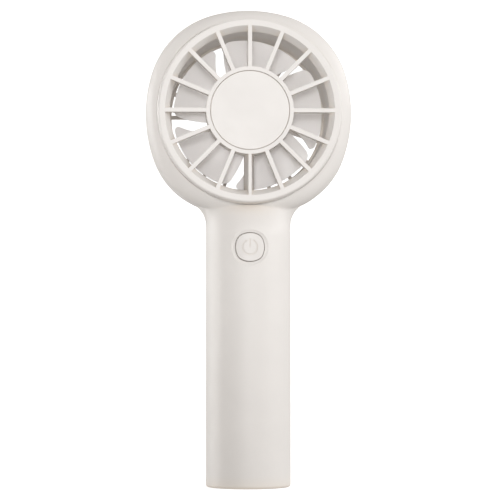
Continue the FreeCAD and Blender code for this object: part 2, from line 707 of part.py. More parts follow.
def build_rear_grille():
    """Outer ring, ribs and centre disc of the rear cover."""
    body = new_body("rear_grille", "fan_height")
    disc = (("0", "seat_rear + 0.8"), ("rear_hub_radius", "seat_rear + 0.8"),
            ("rear_hub_radius", "head_rear - 0.3"), ("rear_hub_radius - 1.5", "head_rear + 0.2"),
            ("0", "head_rear + 0.2"))
    turned(body, polygon(body, "XY_Plane", disc))
    rib = rectangle(body, "XZ_Plane", "rear_hub_radius - 1", "-rib_width / 2", "duct_radius + 1.5",
                    "rib_width / 2", "-(seat_rear + 0.8)")
    bar = pad(body, rib, "rib_depth", backwards=True)
    polar(body, bar, rib, "rib_count")
    ring = (("rear_mouth", "seat_rear + fit"), ("seat_radius - 0.05", "seat_rear + fit"),
            ("seat_radius - 0.05", "head_rear - 2.2"), ("seat_radius - 2.6", "head_rear + 0.3"),
            ("rear_mouth + 0.8", "head_rear + 0.3"), ("rear_mouth", "head_rear - 0.6"))
    turned(body, polygon(body, "XY_Plane", ring))
    return body


def build_base_cap():
    """Cap of the handle's foot, with the slot of the charging socket."""
    body = new_body("base_cap")
    profile = (("0", "0"), ("cap_disc_radius", "0"), ("cap_disc_radius", "1.4"), ("cap_flange", "1.4"),
               ("cap_flange", "2.6"), ("cap_disc_radius", "2.6"), ("cap_disc_radius", "cap_height"),
               ("cap_disc_radius - 1.6", "cap_height"), ("cap_disc_radius - 1.6", "1.6"), ("0", "1.6"))
    turned(body, polygon(body, "XZ_Plane", profile))
    opening = slot(body, "XY_Plane", "0", "board_thickness - board_front + socket_half_height",
                   "socket_half_width + 0.15", "socket_half_height + 0.15", "5")
    pocket(body, opening, "8")
    return body


# Half width of the wire strut where the mount meets the grille.
STRUT_HALF_AT_MOUNT = ("(strut_front_width + (strut_rear_width - strut_front_width)"
                       " * (bezel_front - mount_front) / (bezel_front - strut_rear)) / 2")

build_front_bezel()
build_grille_hub()
build_front_grille()
build_motor_mount()
build_rear_grille()
build_base_cap()
turned_body("hub_cap", "fan_height", (
    ("0", "-bezel_front + 0.05"), ("cap_radius - 0.25", "-bezel_front + 0.05"),
    ("cap_radius", "-bezel_front + 0.3"), ("cap_radius", "-bezel_front + cap_thickness"),
    ("cap_radius - 0.7", "-bezel_front + cap_thickness"), ("cap_radius - 0.7", "-bezel_front + 4"),
    ("cap_radius - 1.7", "-bezel_front + 4"), ("cap_radius - 1.7", "-bezel_front + cap_thickness"),
    ("0", "-bezel_front + cap_thickness")))


# ---------------------------------------------------------------------------------------------
# Impeller
# ---------------------------------------------------------------------------------------------

def blade_surface(leading):
    """Face of one blade: it climbs towards the front from its leading to its trailing edge."""
    sweep = math.radians(size("blade_sweep"))
    width = math.radians(size("blade_angle"))
    tip = size("blade_tip")
    root = size("impeller_hub")
    rows = []
    for i in range(7):
        radius = root - 1.2 + (tip + 1.5 - root + 1.2) * i / 6
        lean = sweep * (tip - radius) / (tip - root)
        row = []
        for j in range(11):
            share = -0.22 + 1.34 * j / 10
            angle = leading + lean + width * share
            arch = size("blade_camber") * (1 - (2 * share - 1) ** 2)
            depth = size("blade_centre") + size("blade_axial") * (0.5 - share) + arch
            row.append(Vector(radius * math.cos(angle), depth, radius * math.sin(angle)))
        rows.append(row)
    surface = Part.BSplineSurface()
    surface.interpolate(rows)
    return surface.toShape()


def blade_outline(leading):
    """Front view of one blade as a prism: leaning edges, round tip and rounded corners."""
    sweep = math.radians(size("blade_sweep"))
    width = math.radians(size("blade_angle"))
    tip = size("blade_tip")
    root = size("impeller_hub") - 0.8

    def at(radius, angle):
        return Vector(radius * math.cos(angle), -20, radius * math.sin(angle))

    def edge_points(start, hook):
        middle = (root + tip) / 2
        lean = sweep * (tip - middle) / (tip - root)
        return at(root, start + sweep), at(middle, start + lean - hook / 3), at(tip, start - hook)

    low = edge_points(leading, math.radians(size("blade_hook")))
    high = edge_points(leading + width, 0)
    edges = [Part.Arc(*low).toShape(),
             Part.Arc(low[2], at(tip, leading + width / 2), high[2]).toShape(),
             Part.Arc(*reversed(high)).toShape(),
             Part.Arc(high[0], at(root, leading + sweep + width / 2), low[0]).toShape()]
    prism = Part.Face(Part.Wire(edges)).extrude(Vector(0, 45, 0))
    for corner, radius in ((low[2], 1.6), (high[2], 4.0)):
        upright = [e for e in prism.Edges if e.BoundBox.YLength > 40
                   and math.hypot(e.CenterOfMass.x - corner.x, e.CenterOfMass.z - corner.z) < 0.1]
        prism = prism.makeFillet(radius, upright)
    return prism


def build_impeller():
    """Open-fronted hub with its shaft boss, and the blades."""
    hub = size("impeller_hub")
    front = -size("impeller_front")
    rear = size("impeller_rear")
    inner = size("bell_outer")
    cup = drum(hub, front, rear, 0)
    cup = cup.makeFillet(2.0, [e for e in cup.Edges if is_ring(e, hub, rear)])
    cup = cup.cut(drum(inner, front - 1, rear - 1.6, 0))
    cup = cup.fuse(drum(3.4, rear - 5.0, rear - 1, 0))
    cup = cup.cut(drum(size("shaft_radius"), front, rear - 1.0, 0))
    step = 2 * math.pi / size("blade_count")
    start = math.radians(size("blade_start"))
    blades = []
    for index in range(int(size("blade_count"))):
        leading = start + index * step
        plate = blade_surface(leading).extrude(Vector(0, size("blade_thickness"), 0))
        blades.append(plate.common(blade_outline(leading)))
    shape = cup.multiFuse(blades)
    shape = shape.removeSplitter()
    shape.translate(Vector(0, 0, size("fan_height")))
    return shape


feature("impeller", build_impeller())


# ---------------------------------------------------------------------------------------------
# Motor
# ---------------------------------------------------------------------------------------------

def build_stator_core():
    """Laminated core: a ring with teeth that end in wider shoes."""
    body = new_body("stator_core", "fan_height")
    ring = (("tube_radius", "-stator_half"), ("tube_radius + 2", "-stator_half"),
            ("tube_radius + 2", "stator_half"), ("tube_radius", "stator_half"))
    turned(body, polygon(body, "XY_Plane", ring))
    tooth = polygon(body, "XZ_Plane", (("-1.2", "tube_radius + 1"), ("1.2", "tube_radius + 1"),
                                       ("1.2", "stator_radius - 2"), ("4.4", "stator_radius - 1.9"),
                                       ("4.4", "stator_radius - 1"), ("2.2", "stator_radius - 0.2"),
                                       ("-2.2", "stator_radius - 0.2"), ("-4.4", "stator_radius - 1"),
                                       ("-4.4", "stator_radius - 1.9"), ("-1.2", "stator_radius - 2")))
    bar = pad(body, tooth, "2 * stator_half", centred=True)
    polar(body, bar, tooth, "tooth_count")
    return body


def build_windings():
    """One coil round each stator tooth, as separate solids."""
    inner = size("tube_radius") + 2.2
    outer = size("stator_radius") - 2.2
    coils = []
    for index in range(int(size("tooth_count"))):
        half = size("stator_half")
        coil = Part.makeBox(5.2, 2 * half + 1.8, outer - inner, Vector(-2.6, -half - 0.9, inner))
        coil = coil.makeFillet(0.8, [e for e in coil.Edges if e.BoundBox.ZLength > 1])
        core = Part.makeBox(2.5, 2 * half + 0.1, 20, Vector(-1.25, -half - 0.05, 0))
        coil = coil.cut(core)
        coil.rotate(Vector(0, 0, 0), Vector(0, 1, 0), 360.0 * index / size("tooth_count"))
        coils.append(coil)
    shape = Part.Compound(coils)
    shape.translate(Vector(0, 0, size("fan_height")))
    return shape


def smooth_route(points, radii):
    """A wire of straight runs joined by tangent arcs of the given radii."""
    edges = []
    start = points[0]
    for before, corner, after, radius in zip(points, points[1:], points[2:], radii):
        back = (before - corner).normalize()
        ahead = (after - corner).normalize()
        half = back.getAngle(ahead) / 2
        reach = radius / math.tan(half)
        middle = (back + ahead).normalize()
        centre = corner + middle * (radius / math.sin(half))
        first = corner + back * reach
        last = corner + ahead * reach
        edges.append(Part.LineSegment(start, first).toShape())
        edges.append(Part.Arc(first, centre - middle * radius, last).toShape())
        start = last
    edges.append(Part.LineSegment(start, points[-1]).toShape())
    return Part.Wire(edges)


def build_leads():
    """The two motor leads: from the motor board through the strut to the plug on the main board."""
    plane = -size("lead_plane")
    middle = size("fan_height")
    radius = size("lead_radius")
    board = -size("motor_board_front")
    leads = []
    for side in (-1, 1):
        x = side * size("lead_half_pitch")
        points = [Vector(x, board, middle - 10.0), Vector(x, plane, middle - 10.0),
                  Vector(x, plane, size("plug_top"))]
        bend = 0.9 * (board - plane)
        route = smooth_route(points, [bend])
        section = Part.Wire(Part.Circle(points[0], Vector(0, 1, 0), radius).toShape())
        lead = route.makePipeShell([section], True, False)
        expected = math.pi * radius ** 2 * route.Length
        if abs(lead.Volume - expected) > 0.01 * expected:
            raise RuntimeError("a motor lead has the wrong volume")
        print("motor lead: length %.1f mm, bend radius %.2f mm" % (route.Length, bend))
        leads.append(lead)
    return Part.Compound(leads)


build_stator_core()
feature("stator_windings", build_windings())
turned_body("bearing_tube", "fan_height", (
    ("bearing_radius", "-hub_rear - 2.6"), ("tube_radius + 1.2", "-hub_rear - 2.6"),
    ("tube_radius + 1.2", "-hub_rear - 2"), ("tube_radius", "-hub_rear - 2"),
    ("tube_radius", "stator_half + 0.4"), ("bearing_radius", "stator_half + 0.4")))
for name, front in (("front_bearing", "-hub_rear - 1.9"), ("rear_bearing", "stator_half - bearing_width")):
    turned_body(name, "fan_height", (
        ("shaft_radius + running_gap", front), ("shaft_radius + 0.5", front),
        ("shaft_radius + 0.5", front + " + 0.2"), ("bearing_radius - 0.5", front + " + 0.2"),
        ("bearing_radius - 0.5", front), ("bearing_radius", front),
        ("bearing_radius", front + " + bearing_width"),
        ("bearing_radius - 0.5", front + " + bearing_width"),
        ("bearing_radius - 0.5", front + " + bearing_width - 0.2"),
        ("shaft_radius + 0.5", front + " + bearing_width - 0.2"),
        ("shaft_radius + 0.5", front + " + bearing_width"),
        ("shaft_radius + running_gap", front + " + bearing_width")))
turned_body("motor_shaft", "fan_height", (
    ("0", "-hub_rear - 3.4"), ("shaft_radius - 0.2", "-hub_rear - 3.4"), ("shaft_radius", "-hub_rear - 3.2"),
    ("shaft_radius", "-hub_rear - 2.7"), ("shaft_radius - 0.35", "-hub_rear - 2.7"),
    ("shaft_radius - 0.35", "-hub_rear - 2.2"), ("shaft_radius", "-hub_rear - 2.2"),
    ("shaft_radius", "impeller_rear - 1.1"), ("0", "impeller_rear - 1.1")))
turned_body("retaining_clip", "fan_height", (
    ("shaft_radius - 0.35", "-hub_rear - 2.68"), ("bearing_radius - 0.3", "-hub_rear - 2.68"),
    ("bearing_radius - 0.3", "-hub_rear - 2.22"), ("shaft_radius - 0.35", "-hub_rear - 2.22")))
turned_body("thrust_washer", "fan_height", (
    ("shaft_radius + 0.05", "stator_half + 0.15"), ("bearing_radius - 0.1", "stator_half + 0.15"),
    ("bearing_radius - 0.1", "stator_half + 0.55"), ("shaft_radius + 0.05", "stator_half + 0.55")))
turned_body("rotor_bell", "fan_height", (
    ("3.6", "impeller_rear - 2.6"), ("bell_inner", "impeller_rear - 2.6"),
    ("bell_inner", "-impeller_front + 0.4"), ("bell_outer", "-impeller_front + 0.4"),
    ("bell_outer", "impeller_rear - 1.7"),
    ("3.6", "impeller_rear - 1.7")))
turned_body("magnet_ring", "fan_height", (
    ("magnet_inner", "-stator_half - 0.8"), ("bell_inner", "-stator_half - 0.8"),
    ("bell_inner", "stator_half + 0.8"), ("magnet_inner", "stator_half + 0.8")))
turned_body("motor_board", "fan_height", (
    ("tube_radius", "-motor_board_front"), ("motor_board_radius", "-motor_board_front"),
    ("motor_board_radius", "-motor_board_front + motor_board_thickness"),
    ("tube_radius", "-motor_board_front + motor_board_thickness")))
feature("motor_leads", build_leads())


# ---------------------------------------------------------------------------------------------
# Button, switch, boards and battery
# ---------------------------------------------------------------------------------------------

def build_button():
    """Cap that follows the handle's curve, with its flange, stem and sunk power symbol."""
    height = size("button_height")
    radius = size("handle_radius") - size("button_sink")
    follow = Part.makeCylinder(radius, 60, Vector(0, 0, height - 30))
    prism = Part.Face(button_outline(0)).extrude(Vector(0, -30, 0))
    cap = prism.common(follow).cut(slab(-size("flange_front"), 60))
    top = [e for e in cap.Edges if e.CenterOfMass.y < -16.2]
    cap = cap.makeFillet(0.35, top)
    arc = tube(size("symbol_radius") - size("symbol_stroke") / 2,
               size("symbol_radius") + size("symbol_stroke") / 2, -30, 0, height)
    notch = Part.makeBox(2.6, 40, 10, Vector(-1.3, -35, height))
    bar_half = size("symbol_stroke") / 2
    bar = Part.makeBox(2 * bar_half, 40, size("symbol_bar"), Vector(-bar_half, -35, height + 0.1))
    symbol = arc.cut(notch).fuse(bar)
    floor = Part.makeCylinder(radius - size("symbol_depth"), 60, Vector(0, 0, height - 30))
    cap = cap.cut(symbol.cut(floor).common(slab(-30, -10)))
    flange_rear = size("flange_thickness") - size("flange_front")
    flange = drum(size("flange_radius"), -size("flange_front"), flange_rear, height)
    stem = drum(size("stem_radius"), flange_rear - 0.1, -size("switch_top") - 0.05, height)
    return cap.fuse(flange).fuse(stem).removeSplitter()


feature("power_button", build_button())

switch = new_body("tact_switch", "button_height")
pad(switch, rectangle(switch, "XZ_Plane", "-3", "-3", "3", "3", "board_front"), "3.3")
pocket(switch, circle(switch, "XZ_Plane", "0", "0", "1.7", "board_front + 3.3"), "2.2")
turned_body("switch_plunger", "button_height", (
    ("0", "-switch_top"), ("1.35", "-switch_top"), ("1.6", "-switch_top + 0.25"),
    ("1.6", "-switch_top + 2.5"), ("0", "-switch_top + 2.5")))

main_board = new_body("main_board")
pad(main_board, rectangle(main_board, "XZ_Plane", "-board_half", "board_bottom", "board_half", "board_top",
                          "board_front - board_thickness"), "board_thickness")
for side in ("-", ""):
    for level in ("board_screw_low", "board_screw_high"):
        hole = circle(main_board, "XZ_Plane", side + "board_screw_x", level, "1.05", "board_front + 1")
        pocket(main_board, hole, "6")

block_body("controller_chip", "-2.5", "2.5", "-board_front - 0.9", "-board_front", "82", "87")
block_body("charger_chip", "-2", "2", "-board_front - 1", "-board_front", "30", "34.9")
block_body("motor_plug", "-2.6", "2.6", "-board_front - 2.8", "-board_front", "plug_bottom", "plug_top")

inductor = new_body("power_inductor")
pad(inductor, circle(inductor, "XZ_Plane", "0", "42", "3.4", "board_front"), "3")


def build_capacitors():
    """Ceramic capacitors and resistors in two short rows, as separate solids."""
    face = -size("board_front")
    chips = []
    for column in (-size("chip_column"), size("chip_column")):
        for index in range(5):
            corner = Vector(column - size("chip_width") / 2, face - size("chip_height"),
                            size("chip_lowest") + size("chip_pitch") * index)
            chips.append(Part.makeBox(size("chip_width"), size("chip_height"), size("chip_length"), corner))
    return Part.Compound(chips)


def build_cradle():
    """Half sleeve behind the cell, with end walls, on four small feet."""
    rear_face = -size("board_front") + size("board_thickness")
    axis = size("cell_axis")
    inner = size("cell_radius") + 0.1
    outer = size("cradle_radius")
    bottom = size("cell_bottom") - size("pad_thickness") - 1.4
    top = size("cell_bottom") + size("cell_length") + size("pad_thickness") + 1.4
    sleeve = Part.makeCylinder(outer, top - bottom, Vector(0, axis, bottom))
    room = Part.makeCylinder(inner, top - bottom - 2.4, Vector(0, axis, bottom + 1.2))
    front = Part.makeBox(60, 30, 200, Vector(-30, axis - 2.0 - 30, 0))
    windows = [Part.makeBox(60, 30, 14, Vector(-30, axis + 3.0, level)) for level in (32, 50, 68)]
    shape = sleeve.cut(room).cut(front)
    for window in windows:
        shape = shape.cut(window)
    for side in (-1, 1):
        for level in (bottom, top - 6):
            foot = Part.makeBox(2.4, 9.5, 6, Vector(side * 9.6 - 1.2, rear_face, level))
            shape = shape.fuse(foot.cut(room))
    return shape


def build_tabs():
    """Nickel strips from the ends of the cell to the rear face of the main board."""
    rear_face = -size("board_front") + size("board_thickness")
    bottom = size("cell_bottom")
    top = bottom + size("cell_length")
    length = size("cell_axis") + 3 - rear_face
    strips = [Part.makeBox(5, length, 0.2, Vector(-2.5, rear_face, level)) for level in (bottom - 0.2, top)]
    return Part.Compound(strips)


def build_pads():
    """Foam pads between the cell's ends and the cradle's end walls."""
    axis = size("cell_axis")
    thickness = size("pad_thickness") - 0.2
    bottom = size("cell_bottom")
    top = bottom + size("cell_length")
    radius = 6.8
    low = Part.makeCylinder(radius, thickness, Vector(0, axis, bottom - 0.2 - thickness))
    high = Part.makeCylinder(radius, thickness, Vector(0, axis, top + 0.2))
    return Part.Compound([low, high])


feature("board_capacitors", build_capacitors())
feature("battery_cradle", build_cradle())
feature("battery_tabs", build_tabs())
feature("battery_pads", build_pads())

cell = new_body("battery_cell", "cell_bottom")
cell.setExpression("Placement.Base.y", cells("cell_axis"))
turned(cell, polygon(cell, "XZ_Plane", (
    ("0", "0"), ("cell_radius - 0.7", "0"), ("cell_radius", "0.7"), ("cell_radius", "cell_length - 4"),
    ("cell_radius - 0.25", "cell_length - 3.6"), ("cell_radius - 0.25", "cell_length - 3"),
    ("cell_radius", "cell_length - 2.6"), ("cell_radius", "cell_length - 0.9"),
    ("cell_radius - 0.6", "cell_length - 0.4"), ("6", "cell_length - 0.4"), ("5.6", "cell_length"),
    ("0", "cell_length"))))


# ---------------------------------------------------------------------------------------------
# Charging socket
# ---------------------------------------------------------------------------------------------

SOCKET_DEPTH = "board_thickness - board_front + socket_half_height"
socket = new_body("usb_socket")
pad(socket, slot(socket, "XY_Plane", "0", SOCKET_DEPTH, "socket_half_width", "socket_half_height",
                 "socket_bottom"), "socket_length")
socket_mouth = slot(socket, "XY_Plane", "0", SOCKET_DEPTH, "socket_half_width - socket_wall",
                    "socket_half_height - socket_wall", "socket_bottom")
pocket(socket, socket_mouth, "socket_length - 0.8", backwards=True)
block_body("usb_tongue", "-3.35", "3.35", SOCKET_DEPTH + " - 0.35", SOCKET_DEPTH + " + 0.35",
           "socket_bottom + 0.8", "socket_bottom + socket_length - 0.8")


# ---------------------------------------------------------------------------------------------
# Screws
# ---------------------------------------------------------------------------------------------

def screw(head_face, tip, head_radius, head_height, shank, x, z):
    """A pan-head screw driven along -Y, with a cross recess and a pointed tip."""
    head = drum(head_radius, head_face - head_height, head_face, z, x)
    head = head.makeFillet(0.35, [e for e in head.Edges if abs(e.CenterOfMass.y - head_face) < 1e-6])
    rod = drum(shank, tip + shank, head_face - head_height, z, x)
    point = Part.makeCone(0.2, shank, shank, Vector(x, tip, z), Vector(0, 1, 0))
    body = head.fuse(rod).fuse(point)
    for wide, tall in ((0.5, 2.2), (2.2, 0.5)):
        body = body.cut(Part.makeBox(wide, 2, tall, Vector(x - wide / 2, head_face - 0.8, z - tall / 2)))
    return body


def build_casing_screws():
    """Four screws round the head and two near the foot."""
    seat = size("seat_rear")
    radius = size("screw_head")
    shank = size("screw_radius")
    screws = [screw(seat - 0.1, -3.6, radius, 1.6, shank, x, z) for x, z in head_screw_places()]
    screws += [screw(11.7, -5.6, radius, 1.5, shank, x, z) for x, z in handle_screw_places()]
    return Part.Compound(screws)


def build_board_screws():
    """Four short screws that hold the main board to the front shell."""
    face = -size("board_front") + size("board_thickness")
    screws = [screw(face + 1.1, face - 5.0, 1.7, 1.1, 0.8, x, z) for x, z in board_screw_places()]
    return Part.Compound(screws)


feature("casing_screws", build_casing_screws())
feature("board_screws", build_board_screws())


# ---------------------------------------------------------------------------------------------
# Check and export
# ---------------------------------------------------------------------------------------------

doc.recompute()
for item in doc.Objects:
    if "Invalid" in item.State or "Error" in item.State:
        raise RuntimeError("%s failed: %s" % (item.Label, item.State))

nodes = [item for item in doc.Objects if item.TypeId in ("PartDesign::Body", "Part::Feature")]
for item in nodes:
    if item.Shape.isNull() or not item.Shape.isValid() or not item.Shape.Solids:
        raise RuntimeError("%s has no valid solid" % item.Label)

os.makedirs("parts", exist_ok=True)
for item in nodes:
    item.Shape.exportStep(os.path.join("parts", item.Label + ".step"))
    box = item.Shape.BoundBox
    print("%-18s solids %2d volume %9.1f  x %7.2f %7.2f  y %7.2f %7.2f  z %7.2f %7.2f" % (
        item.Label, len(item.Shape.Solids), item.Shape.Volume,
        box.XMin, box.XMax, box.YMin, box.YMax, box.ZMin, box.ZMax))
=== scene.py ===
"""Looks of the handheld electric fan: materials, fine details, studio, camera."""
import json
import math

import bpy
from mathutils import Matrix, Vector


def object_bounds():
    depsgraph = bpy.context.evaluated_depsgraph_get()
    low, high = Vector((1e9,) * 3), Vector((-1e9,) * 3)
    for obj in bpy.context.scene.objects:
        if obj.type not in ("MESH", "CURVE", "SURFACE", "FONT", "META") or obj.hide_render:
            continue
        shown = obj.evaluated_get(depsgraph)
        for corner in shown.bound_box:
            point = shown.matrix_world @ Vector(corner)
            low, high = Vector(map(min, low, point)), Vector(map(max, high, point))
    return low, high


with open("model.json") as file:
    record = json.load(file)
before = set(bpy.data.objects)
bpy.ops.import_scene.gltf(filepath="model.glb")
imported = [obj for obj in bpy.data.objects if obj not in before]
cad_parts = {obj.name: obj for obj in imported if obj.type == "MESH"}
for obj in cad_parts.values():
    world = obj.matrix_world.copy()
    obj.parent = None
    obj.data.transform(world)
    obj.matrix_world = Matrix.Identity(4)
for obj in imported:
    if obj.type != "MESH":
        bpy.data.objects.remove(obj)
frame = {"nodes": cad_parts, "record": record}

CAD_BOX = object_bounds()
RECORD = frame["record"]
NODES = frame["nodes"]
MM = 0.001

# ---------------------------------------------------------------------------------------------
# Shader helpers
# ---------------------------------------------------------------------------------------------


class Shader:
    """A material with a Principled shader, and short calls that add and join nodes."""

    def __init__(self, name, roughness, metallic=0.0, specular=0.5):
        self.material = bpy.data.materials.new(name)
        self.material.use_nodes = True
        self.tree = self.material.node_tree
        self.surface = self.tree.nodes["Principled BSDF"]
        self.surface.inputs["Roughness"].default_value = roughness
        self.surface.inputs["Metallic"].default_value = metallic
        self.surface.inputs["Specular IOR Level"].default_value = specular
        self.place = self.node("ShaderNodeTexCoord").outputs["Object"]

    def node(self, kind, **settings):
        """Add a node; a setting is a property, or a socket when its name starts with in_."""
        made = self.tree.nodes.new(kind)
        for key, value in settings.items():
            if key.startswith("in_"):
                self.give(made, key[3:].replace("_", " "), value)
            else:
                setattr(made, key, value)
        return made

    def give(self, node, socket, value):
        """Set a socket to a number, or join it to another node's output."""
        if isinstance(value, bpy.types.NodeSocket):
            self.tree.links.new(value, node.inputs[socket])
        else:
            node.inputs[socket].default_value = value

    def join(self, output, socket):
        """Join an output to one of the shader's own sockets."""
        self.tree.links.new(output, self.surface.inputs[socket])

    def noise(self, size, detail=3.0, stretch=None):
        """Noise whose features are about the given size in metres, from 0 to 1."""
        place = self.place
        if stretch:
            mapping = self.node("ShaderNodeMapping", in_Vector=place)
            mapping.inputs["Scale"].default_value = stretch
            place = mapping.outputs["Vector"]
        made = self.node("ShaderNodeTexNoise", in_Vector=place, in_Scale=1.0 / size)
        made.inputs["Detail"].default_value = detail
        made.inputs["Roughness"].default_value = 0.55
        return made.outputs["Fac"]

    def span(self, value, low, high, start=0.0, end=1.0):
        """Map a value from one range to another, clamped."""
        made = self.node("ShaderNodeMapRange", in_Value=value)
        for name, number in (("From Min", low), ("From Max", high), ("To Min", start), ("To Max", end)):
            made.inputs[name].default_value = number
        return made.outputs["Result"]

    def sum(self, first, second):
        """Add two values."""
        made = self.node("ShaderNodeMath", operation="ADD")
        self.give(made, 0, first)
        self.give(made, 1, second)
        return made.outputs[0]

    def times(self, first, second):
        """Multiply two values."""
        made = self.node("ShaderNodeMath", operation="MULTIPLY")
        self.give(made, 0, first)
        self.give(made, 1, second)
        return made.outputs[0]

    def blend(self, share, first, second):
        """Mix two colours by a value from 0 to 1."""
        made = self.node("ShaderNodeMix", data_type="RGBA")
        self.give(made, 0, share)
        self.give(made, 6, first)
        self.give(made, 7, second)
        return made.outputs[2]

    def rounded_normal(self, radius):
        """The surface normal with its sharp edges rounded by the given radius."""
        made = self.node("ShaderNodeBevel", samples=6)
        self.give(made, "Radius", radius)
        return made.outputs["Normal"]

    def fold_radius(self, radius, low, high):
        """The given edge radius, made wide in a level band on the object's front."""
        widening, rise_height, fall_height = 2.6 * MM, 4 * MM, 3 * MM
        front_start, front_full = -5 * MM, -8 * MM
        apart = self.node("ShaderNodeSeparateXYZ", in_Vector=self.place)
        level = apart.outputs["Z"]
        rise = self.span(level, low, low + rise_height)
        fall = self.span(level, high, high + fall_height, 1.0, 0.0)
        ahead = self.span(apart.outputs["Y"], front_start, front_full)
        share = self.times(self.times(rise, fall), ahead)
        return self.sum(self.times(share, widening), radius)

    def edges(self, radius):
        """1 on sharp edges and 0 away from them."""
        plain = self.node("ShaderNodeNewGeometry").outputs["Normal"]
        turned = self.node("ShaderNodeVectorMath", operation="DOT_PRODUCT")
        self.give(turned, 0, self.rounded_normal(radius))
        self.give(turned, 1, plain)
        return self.span(turned.outputs["Value"], 1.0, 0.75)

    def recess(self, reach):
        """1 deep in gaps and recesses narrower than the given reach, and 0 on open surfaces."""
        made = self.node("ShaderNodeAmbientOcclusion", samples=8)
        made.inputs["Distance"].default_value = reach
        return self.span(made.outputs["AO"], 0.85, 0.35)

    def bump(self, height, depth, normal):
        """Add a height from 0 to 1 to a normal; depth is in metres."""
        made = self.node("ShaderNodeBump", in_Height=height, in_Normal=normal)
        made.inputs["Distance"].default_value = depth
        made.inputs["Strength"].default_value = 1.0
        return made.outputs["Normal"]


def colour(red, green, blue):
    """A linear colour from display values of 0 to 255."""
    def linear(value):
        value /= 255.0
        return value / 12.92 if value <= 0.04045 else ((value + 0.055) / 1.055) ** 2.4
    return linear(red), linear(green), linear(blue), 1.0


def shade(tone, factor):
    """The same colour, lighter or darker."""
    return tuple(min(1.0, part * factor) for part in tone[:3]) + (1.0,)


def painted_shade_tone(tone):
    """The same colour, warmer: the tone of the painted warm shade in gaps and recesses."""
    return min(1.0, tone[0] * 1.07), tone[1], tone[2] * 0.91, 1.0


# ---------------------------------------------------------------------------------------------
# Materials
# ---------------------------------------------------------------------------------------------

def moulded_plastic(name, tone, roughness, grain=0.16 * MM, grain_depth=0.006 * MM, edge=0.14 * MM,
                    fold=None, painted_recess_shade=True):
    """Injection-moulded plastic: a fine eroded grain, faint flow clouds and slightly worn edges.

    fold is the low and high level of a band whose inner corners are blended by a wide radius.
    With painted_recess_shade, gaps and recesses get painted shade: the base colour turns warmer where
    ambient occlusion finds them closed in.
    """
    shader = Shader(name, roughness)
    clouds = shader.span(shader.noise(14 * MM, 4.0), 0.3, 0.7)
    speckle = shader.span(shader.noise(0.5 * MM, 2.0), 0.3, 0.7)
    base = shader.blend(clouds, shade(tone, 0.982), shade(tone, 1.012))
    base = shader.blend(shader.times(speckle, 0.25), base, shade(tone, 0.965))
    edge_mask = shader.edges(3 * edge)
    base = shader.blend(shader.times(edge_mask, 0.35), base, shade(tone, 1.05))
    # Painted shade: an ambient-occlusion mask warms the base colour in gaps and recesses, where warm shade
    # falls.
    if painted_recess_shade:
        base = shader.blend(shader.times(shader.recess(9 * MM), 0.7), base, painted_shade_tone(tone))
    shader.join(base, "Base Color")
    sheen_map = shader.span(shader.noise(4 * MM, 3.0), 0.3, 0.7, roughness - 0.04, roughness + 0.04)
    polish = shader.times(edge_mask, -0.10)
    shader.join(shader.sum(sheen_map, polish), "Roughness")
    soft = shader.rounded_normal(edge if fold is None else shader.fold_radius(edge, *fold))
    waves = shader.bump(shader.noise(9 * MM, 1.0), 0.02 * MM, soft)
    shader.join(shader.bump(shader.noise(grain, 2.0), grain_depth, waves), "Normal")
    return shader.material


def plain_metal(name, tone, roughness, stretch=None, depth=0.004 * MM):
    """Turned, rolled or plated metal with fine tool marks."""
    shader = Shader(name, roughness, metallic=1.0)
    marks = shader.noise(0.4 * MM, 3.0, stretch=stretch)
    share = shader.span(marks, 0.3, 0.7)
    shader.join(shader.blend(share, shade(tone, 0.85), shade(tone, 1.05)), "Base Color")
    sheen = shader.noise(2 * MM)
    shader.join(shader.span(sheen, 0.3, 0.7, roughness - 0.07, roughness + 0.08), "Roughness")
    shader.join(shader.bump(marks, depth, shader.rounded_normal(0.08 * MM)), "Normal")
    return shader.material


def coarse_solid(name, tone, roughness, size, depth, spread=0.25):
    """A dull material with an irregular surface: foam, ferrite, lacquer, solder mask or sleeve."""
    shader = Shader(name, roughness)
    lumps = shader.noise(size, 4.0)
    share = shader.span(lumps, 0.3, 0.7)
    shader.join(shader.blend(share, shade(tone, 1 - spread), shade(tone, 1 + spread)), "Base Color")
    sheen = shader.noise(3 * size)
    shader.join(shader.span(sheen, 0.3, 0.7, roughness - 0.06, roughness + 0.06), "Roughness")
    shader.join(shader.bump(lumps, depth, shader.rounded_normal(0.1 * MM)), "Normal")
    return shader.material


IVORY = colour(213, 209, 205)


